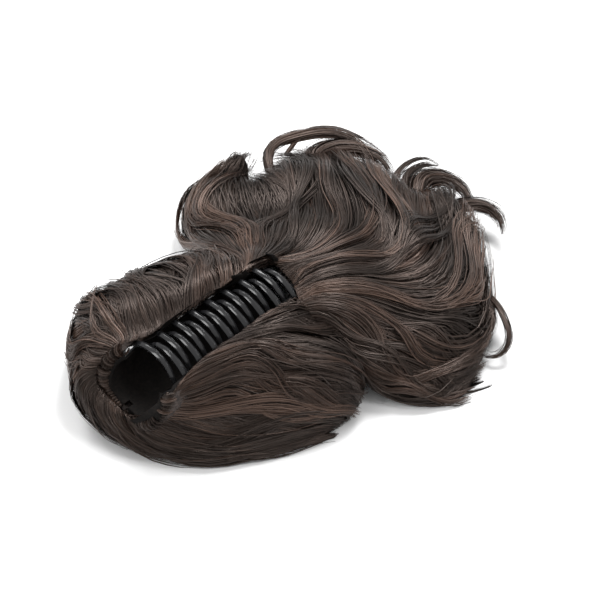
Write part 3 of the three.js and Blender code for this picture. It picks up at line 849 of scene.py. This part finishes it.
def grow(name, body, field, low, high, locks, wisps, strands, stations, look, width=LOCK_WIDE):
    """Comb one layer between two rows of a sheet and set it on its body."""
    lines, normals, tints = comb(field, low, high, locks, wisps, strands, stations, look)
    obj = ribbons(name, lines, normals, tints, width)
    obj.data.materials.append(hair)
    joint_ride(obj, body)


def base(look):
    """The look of the finer layer below the locks, its tint lowered as painted shade."""
    # The lower tint is painted shade of a layer that lies under the locks.
    change = {
        "gather": 0.0, "depth": look["depth"] + 0.8 + look["valley"] * 0.8, "layer": 0.0,
        "valley": 0.0, "wave": 0.4, "tint": look["tint"] - 0.32, "ragged": look["ragged"] + 0.06,
        "late": 0.09,
    }
    return {**look, **change}


front_high = FRONT_ROWS - 0.3
crown_low = FRONT_ROWS - 0.5
tress_high = tress_rows - 0.2
grow("front_base", None, crown_sheet, 0.7, front_high, 4, 5, 34, 12, base(FRONT_LOOK), BASE_WIDE)
grow("front_locks", None, crown_sheet, 0.4, front_high, 5, 7, 40, 16, FRONT_LOOK)
grow("crown_base", "left_side", crown_sheet, crown_low, crown_rows, 8, 5, 34, 13, base(CROWN_LOOK), BASE_WIDE)
grow("crown_locks", "left_side", crown_sheet, crown_low, crown_rows, 10, 7, 38, 19, CROWN_LOOK)
grow("tress_base", "right_side", tress_sheet, 0, tress_high, 8, 5, 36, 13, base(TRESS_LOOK), BASE_WIDE)
grow("tress_locks", "right_side", tress_sheet, 0, tress_high, 9, 8, 40, 20, TRESS_LOOK)
grow("crown_over", "left_side", crown_sheet, FRONT_ROWS - 1, crown_rows - 0.4, 8, 3, 20, 18, CROWN_OVER)
grow("tress_over", "right_side", tress_sheet, 0.6, tress_rows - 4.4, 6, 3, 20, 18, TRESS_OVER)
for name, low, high, locks in (
    ("tail_left", 0.6, 5.75, 7),
    ("tail_middle", 5.5, 9.75, 7),
    ("tail_right", 9.5, tail_rows - 0.3, 6),
):
    grow(name + "_base", "left_side", tail_sheet, low, high, locks, 6, 30, 14, base(TAIL_LOOK), BASE_WIDE)
    grow(name + "_locks", "left_side", tail_sheet, low, high, locks, 8, 42, 22, TAIL_LOOK)
    grow(name + "_over", "left_side", tail_sheet, low + 0.4, high - 0.4, 5, 3, 24, 22, OVER_LOOK)

# %% [markdown]
# ## The stitched rim
# Round the open mouth the hair is sewn on in small bundles. Each wraps over the edge from the inside
# and is pulled tight by its stitch, so the rim looks like a string of soft beads. Here each bead is a
# fan of short ribbons. Much thinner beads make the seam along the top of both jaws.

# %% Beads along the sewn edge
RIM_OUT = 3.3
RIM_THICK = 3.1
SEAM_OUT = 1.7
SEAM_THICK = 0.9
SEAM_END = 68.0


def bead_row(name, side, body, low, high, count, thick, crest=None):
    """Beads between two angles of the mouth, or between two places along the top of a jaw."""
    per = 26
    stations = 9
    spot = np.repeat(np.arange(count) + 0.5, per)
    across = np.tile(np.linspace(-1, 1, per), count) + rng.normal(0, 0.08, count * per)
    bulge = np.sqrt(np.clip(1 - 0.75 * across**2, 0.1, 1))
    lines = np.empty((count * per, stations, 3))
    normals = np.empty_like(lines)
    turn = np.linspace(-0.35 * math.pi, 1.05 * math.pi, stations)
    size = thick * rng.uniform(0.85, 1.15, count).repeat(per) * bulge
    for k, angle in enumerate(turn):
        fan = across * (0.44 + 0.12 * math.sin(max(angle, 0)))
        place = np.clip((spot + fan) / count, 0, 1) * (high - low) + low
        for n, value in enumerate(place):
            if crest is None:
                centre = sewn(side, value, RIM_OUT)
                out = sewn(side, value, RIM_OUT + 1.0) - centre
                ahead = np.array([-1.0, 0.0, 0.15])
            else:
                centre = sewn(side, crest, SEAM_OUT, value)
                out = np.array([0.0, side, 0.2])
                ahead = np.array([0.0, 0.0, 1.0])
            out = out / np.linalg.norm(out)
            ahead = ahead / np.linalg.norm(ahead)
            ray = -math.cos(angle) * out + math.sin(angle) * ahead
            lines[n, k] = centre + ray * size[n]
            normals[n, k] = ray
    tints = 0.4 + 0.2 * rng.normal(0, 1, count).repeat(per) + 0.1 * rng.normal(0, 1, count * per)
    obj = ribbons(name, lines, normals, np.clip(tints, 0, 1), BEAD_WIDE)
    obj.data.materials.append(hair)
    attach(obj, body)


for side, body, label in ((1, "left_side", "far"), (-1, "right_side", "near")):
    bead_row("rim_" + label, side, body, MOUTH_LOW, CREST, 22, RIM_THICK)
    bead_row("seam_" + label, side, body, 0.0, SEAM_END, 26, SEAM_THICK, CREST + 3)

# %% [markdown]
# ## Loose curls
# A few thin bundles leave the tail and curl in the open. Each is a guide of its own with its strands
# spread round it in a narrow tube.

# %% Curls
CURLS = [
    {
        "along": [1.16, 1.25, 1.33, 1.44, 1.55, 1.61, 1.6, 1.54],
        "across": [0.6, 0.76, 0.8, 0.77, 0.71, 0.62, 0.5, 0.38],
        "tops": [0.4, 0.42, 0.48, 0.48, 0.46, 0.44, 0.42, 0.38],
        "thick": [2.0, 3.0, 2.4],
        "strands": 240,
    },
    {
        "along": [1.3, 1.42, 1.52, 1.6, 1.64, 1.62],
        "across": [0.52, 0.64, 0.62, 0.55, 0.44, 0.34],
        "tops": [0.36, 0.4, 0.42, 0.4, 0.36, 0.3],
        "thick": [4.5, 5.5, 2.6],
        "strands": 420,
    },
    {
        "along": [1.34, 1.48, 1.6, 1.66, 1.69, 1.7],
        "across": [0.74, 0.76, 0.71, 0.62, 0.52, 0.45],
        "tops": [0.4, 0.5, 0.46, 0.4, 0.34, 0.28],
        "thick": [1.2, 1.0, 0.5],
        "strands": 40,
    },
    {
        "along": [1.5, 1.55, 1.62, 1.72, 1.81, 1.86],
        "across": [0.14, 0.26, 0.31, 0.33, 0.32, 0.28],
        "tops": [0.34, 0.4, 0.42, 0.4, 0.32, 0.2],
        "thick": [2.0, 1.6, 0.7],
        "strands": 70,
    },
    {
        "along": [1.5, 1.56, 1.64, 1.75, 1.83],
        "across": [0.1, 0.2, 0.27, 0.29, 0.26],
        "tops": [0.3, 0.38, 0.4, 0.36, 0.28],
        "thick": [3.5, 3.0, 1.0],
        "strands": 150,
    },
    {
        "along": [1.5, 1.58, 1.67, 1.75, 1.78, 1.74],
        "across": [0.06, 0.16, 0.2, 0.16, 0.06, -0.04],
        "tops": [0.36, 0.42, 0.42, 0.38, 0.34, 0.3],
        "thick": [5.0, 5.5, 2.4],
        "strands": 380,
    },
    {
        "along": [1.5, 1.6, 1.7, 1.78, 1.79, 1.75],
        "across": [-0.12, -0.03, -0.01, -0.07, -0.15, -0.22],
        "tops": [0.34, 0.37, 0.34, 0.3, 0.26, 0.2],
        "thick": [4.5, 4.0, 2.6],
        "strands": 300,
    },
    {
        "along": [1.44, 1.42, 1.38, 1.32, 1.26, 1.21, 1.2],
        "across": [-0.34, -0.44, -0.56, -0.67, -0.7, -0.67, -0.6],
        "tops": [0.25, 0.26, 0.3, 0.25, 0.16, 0.1, 0.08],
        "thick": [1.6, 1.4, 1.0],
        "strands": 110,
    },
    {
        "along": [1.42, 1.39, 1.34, 1.28, 1.24],
        "across": [-0.36, -0.46, -0.55, -0.59, -0.58],
        "tops": [0.22, 0.25, 0.24, 0.2, 0.1],
        "thick": [2.4, 2.2, 1.0],
        "strands": 130,
    },
    {
        "along": [0.44, 0.4, 0.35, 0.3],
        "across": [0.34, 0.42, 0.52, 0.6],
        "tops": [0.98, 0.88, 0.66, 0.52],
        "thick": [2.2, 1.8, 1.4],
        "strands": 70,
    },
]

CURL_STATIONS = 20


def curl(row):
    """The strands of one curl, spread round its line: their points, their normals and their tints."""
    stations = CURL_STATIONS
    places = np.stack([row["along"], row["across"], row["tops"]], axis=1)
    line = evenly(places * [SPAN, SPAN, HEIGHT], stations)
    along = unit(np.gradient(line, axis=0))
    side = unit(np.cross(along, [0, 0, 1]))
    up = np.cross(side, along)
    count = row["strands"]
    share = np.linspace(0, 1, stations)[None, :]
    thick = np.interp(share[0], [0, 0.45, 1], row["thick"])[None, :]
    radius = thick * (rng.uniform(0, 1, count) ** 0.7)[:, None]
    radius = radius * (1 + 0.3 * rng.normal(0, 1, count)[:, None] * share)
    turn = rng.uniform(0, 2 * math.pi, count)[:, None]
    turn = turn + (1.6 + rng.normal(0, 0.3, count)[:, None]) * share
    drift = rng.normal(0, 0.5, (count, 2)) * (rng.uniform(0, 1, (count, 1)) < 0.25)
    wide = radius * np.cos(turn) + drift[:, :1] * 3 * share**2
    high = 0.7 * radius * np.sin(turn) + drift[:, 1:] * 2 * share**2
    offset = side[None] * wide[..., None] + up[None] * high[..., None]
    lines = line[None] + offset
    stop = 1 - 0.4 * rng.uniform(0, 1, count) ** 1.5
    cut = np.stack([
        through(one, np.linspace(0, (stations - 1) * end, stations))
        for one, end in zip(lines, stop)
    ])
    normals = unit(offset + up[None] * 0.5)
    tints = np.clip(0.48 + 0.2 * rng.normal(0, 1, count), 0, 1)
    return cut, normals, tints


for number, row in enumerate(CURLS):
    lines, normals, tints = curl(row)
    obj = ribbons("curl_%d" % (number + 1), lines, normals, tints, LOCK_WIDE)
    obj.data.materials.append(hair)
    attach(obj, "left_side")

# %% [markdown]
# ## The clip
# The jaws are moulded in black plastic with a polished surface. Moulded edges are never sharp, so the
# jaws and wefts get a small bevel after a modifier has joined their corners, and all faces are shaded
# smooth. Cloth near black with painted shade lines the tunnel and its rim, and makes the inside plain black.

# %% Plastic, steel and thread
JAW_BEVEL = 0.9
WEFT_BEVEL = 0.3
WELD_GAP = 0.002
EDGE_ANGLE = 35
FLOOR_FROM = -13
FLOOR_TO = 70
FLOOR_HALF = 4.6
FLOOR_LIFT = 0.5
LINING_TOP = 39
LINING_STEPS = 14
LINING_OUT = -0.6


def plastic_material():
    material, nodes, links, shader = new_material("jaw plastic")
    links.new(grain(nodes, 320, 0.13, 0.21), shader.inputs["Roughness"])
    shader.inputs["Base Color"].default_value = (0.013, 0.013, 0.014, 1)
    shader.inputs["Specular IOR Level"].default_value = 0.75
    return material


def steel_material():
    material, _, _, shader = new_material("pin steel")
    shader.inputs["Base Color"].default_value = (0.5, 0.51, 0.53, 1)
    shader.inputs["Metallic"].default_value = 1
    shader.inputs["Roughness"].default_value = 0.32
    return material


def thread_material():
    material, nodes, links, shader = new_material("weft thread")
    weave = grain(nodes, 700, 0, 1)
    colours = ramp(nodes, [(0.0, (0.02, 0.014, 0.012)), (1.0, (0.07, 0.05, 0.043))])
    links.new(weave, colours.inputs["Fac"])
    links.new(colours.outputs["Color"], shader.inputs["Base Color"])
    bump = add(nodes, "ShaderNodeBump")
    bump.inputs["Distance"].default_value = 0.0004
    links.new(weave, bump.inputs["Height"])
    links.new(bump.outputs["Normal"], shader.inputs["Normal"])
    shader.inputs["Roughness"].default_value = 0.7
    return material


plastic = plastic_material()
steel = steel_material()
thread = thread_material()


def dress(node, material, bevel):
    obj = frame["nodes"][node]
    obj.data.materials.clear()
    obj.data.materials.append(material)
    for polygon in obj.data.polygons:
        polygon.use_smooth = True
    joined = obj.modifiers.new("joined corners", "WELD")
    joined.merge_threshold = WELD_GAP * MM
    if bevel:
        edges = obj.modifiers.new("soft edges", "BEVEL")
        edges.width = bevel * MM
        edges.segments = 3
        edges.limit_method = "ANGLE"
        edges.angle_limit = math.radians(EDGE_ANGLE)
        edges.harden_normals = True


def shaded_lining():
    """A strip of cloth over the hinge, along the floor of the tunnel, near black as painted shade."""
    xs = np.linspace(FLOOR_FROM, FLOOR_TO, 24)
    ys = np.linspace(-FLOOR_HALF, FLOOR_HALF, 7)
    points = []
    for x in xs:
        narrow = narrowing(x)
        for y in ys:
            z = FLOOR_LIFT - TUNNEL_DEEP * narrow * math.sqrt(1 - (y / (TUNNEL_WIDE * narrow)) ** 2)
            points.append(tilted(x, y, z))
    obj = shade_sheet("shaded_lining", np.array(points), len(xs), len(ys))
    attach(obj, "left_side")


def mouth_shaded_lining(side, body):
    """Cloth that wraps round the rim and lines the wall of the tunnel below the teeth, near black as painted
    shade.
    """
    points = []
    angles = np.linspace(MOUTH_LOW, LINING_TOP, 26)
    for angle in angles:
        edge = sewn(side, angle, -0.4)
        points.append(sewn(side, angle, 2.2, edge[0] - 0.8))
        points.append(sewn(side, angle, LINING_OUT, edge[0] - 0.8))
        for deep in np.linspace(0, 1, LINING_STEPS) ** 1.5:
            x = edge[0] + 0.4 + deep * (TOOTH_ROW - edge[0])
            top = LINING_TOP - 3 * smooth(deep * 20)
            points.append(sewn(side, min(angle, top), LINING_OUT, x))
    obj = shade_sheet("mouth_shaded_lining_" + body, np.array(points), len(angles), LINING_STEPS + 2)
    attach(obj, body)


shaded_lining()
mouth_shaded_lining(1, "left_side")
mouth_shaded_lining(-1, "right_side")
dress("left_jaw", plastic, JAW_BEVEL)
dress("right_jaw", plastic, JAW_BEVEL)
dress("hinge_pin", steel, 0)
dress("hinge_spring", steel, 0)
dress("left_weft", thread, WEFT_BEVEL)
dress("right_weft", thread, WEFT_BEVEL)
print("clip dressed")

# %% [markdown]
# ## Floor, light and camera
# The hairpiece lies on a plain white surface under soft light, as in the photo. Two lamps stand high
# behind it, the stronger one a little to the right, and draw the sheen along the waves. Two weaker ones
# at the left and the right and the white sky fill the shadows. The camera's direction comes from the
# clip in the photo.

# %% The set
FLOOR_SIZE = 6
LAMP_AIM = (0, 0, 0.02)


def floor():
    material, _, _, shader = new_material("white floor")
    shader.inputs["Base Color"].default_value = (0.9, 0.9, 0.9, 1)
    shader.inputs["Roughness"].default_value = 0.6
    bpy.ops.mesh.primitive_plane_add(size=FLOOR_SIZE)
    plane = bpy.context.object
    plane.name = "floor"
    plane.data.materials.append(material)


def lamp(name, place, size, power, colour=(1, 1, 1)):
    light = bpy.data.lights.new(name, "AREA")
    light.size = size
    light.energy = power
    light.color = colour
    obj = bpy.data.objects.new(name, light)
    obj.location = place
    obj.rotation_euler = (Vector(LAMP_AIM) - Vector(place)).to_track_quat("-Z", "Y").to_euler()
    bpy.context.scene.collection.objects.link(obj)


floor()
lamp("key", (0.62, 0.32, 1.1), 0.4, 14)
lamp("back", (0.0, 0.9, 1.0), 0.6, 10)
lamp("side", (-1.0, 0.3, 0.9), 0.5, 4)
lamp("front", (0.45, -0.7, 1.1), 0.35, 5)
world = bpy.data.worlds.new("studio")
world.use_nodes = True
world.node_tree.nodes["Background"].inputs["Color"].default_value = (1, 1, 1, 1)
world.node_tree.nodes["Background"].inputs["Strength"].default_value = 0.5
bpy.context.scene.world = world

# %% Camera
AZIMUTH = math.radians(43)
ELEVATION = math.radians(46)
DISTANCE = 1.1
TARGET = np.array([77.86, 4.29, 15.0])
SENSOR = 36
PHOTO_SIDE = 600
PIXELS_PER_MM = 2.36

target = (TARGET + ORIGIN) * MM
away = np.array([
    math.sin(AZIMUTH) * math.cos(ELEVATION),
    math.cos(AZIMUTH) * math.cos(ELEVATION),
    -math.sin(ELEVATION),
])
camera_data = bpy.data.cameras.new("camera")
camera_data.sensor_width = SENSOR
camera_data.lens = SENSOR * DISTANCE * 1000 / (PHOTO_SIDE / PIXELS_PER_MM)
camera = bpy.data.objects.new("camera", camera_data)
camera.location = Vector(target - away * DISTANCE)
camera.rotation_euler = Vector(away).to_track_quat("-Z", "Y").to_euler()
bpy.context.scene.collection.objects.link(camera)
bpy.context.scene.camera = camera
bpy.context.scene.view_settings.view_transform = "Standard"
print("camera at", tuple(round(v, 3) for v in camera.location))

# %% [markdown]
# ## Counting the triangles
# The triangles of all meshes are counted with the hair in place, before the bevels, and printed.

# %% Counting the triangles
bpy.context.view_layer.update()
total = sum(
    len(face.vertices) - 2
    for item in bpy.data.objects if item.type == "MESH"
    for face in item.data.polygons
)
print("triangles in all, before bevels:", total)
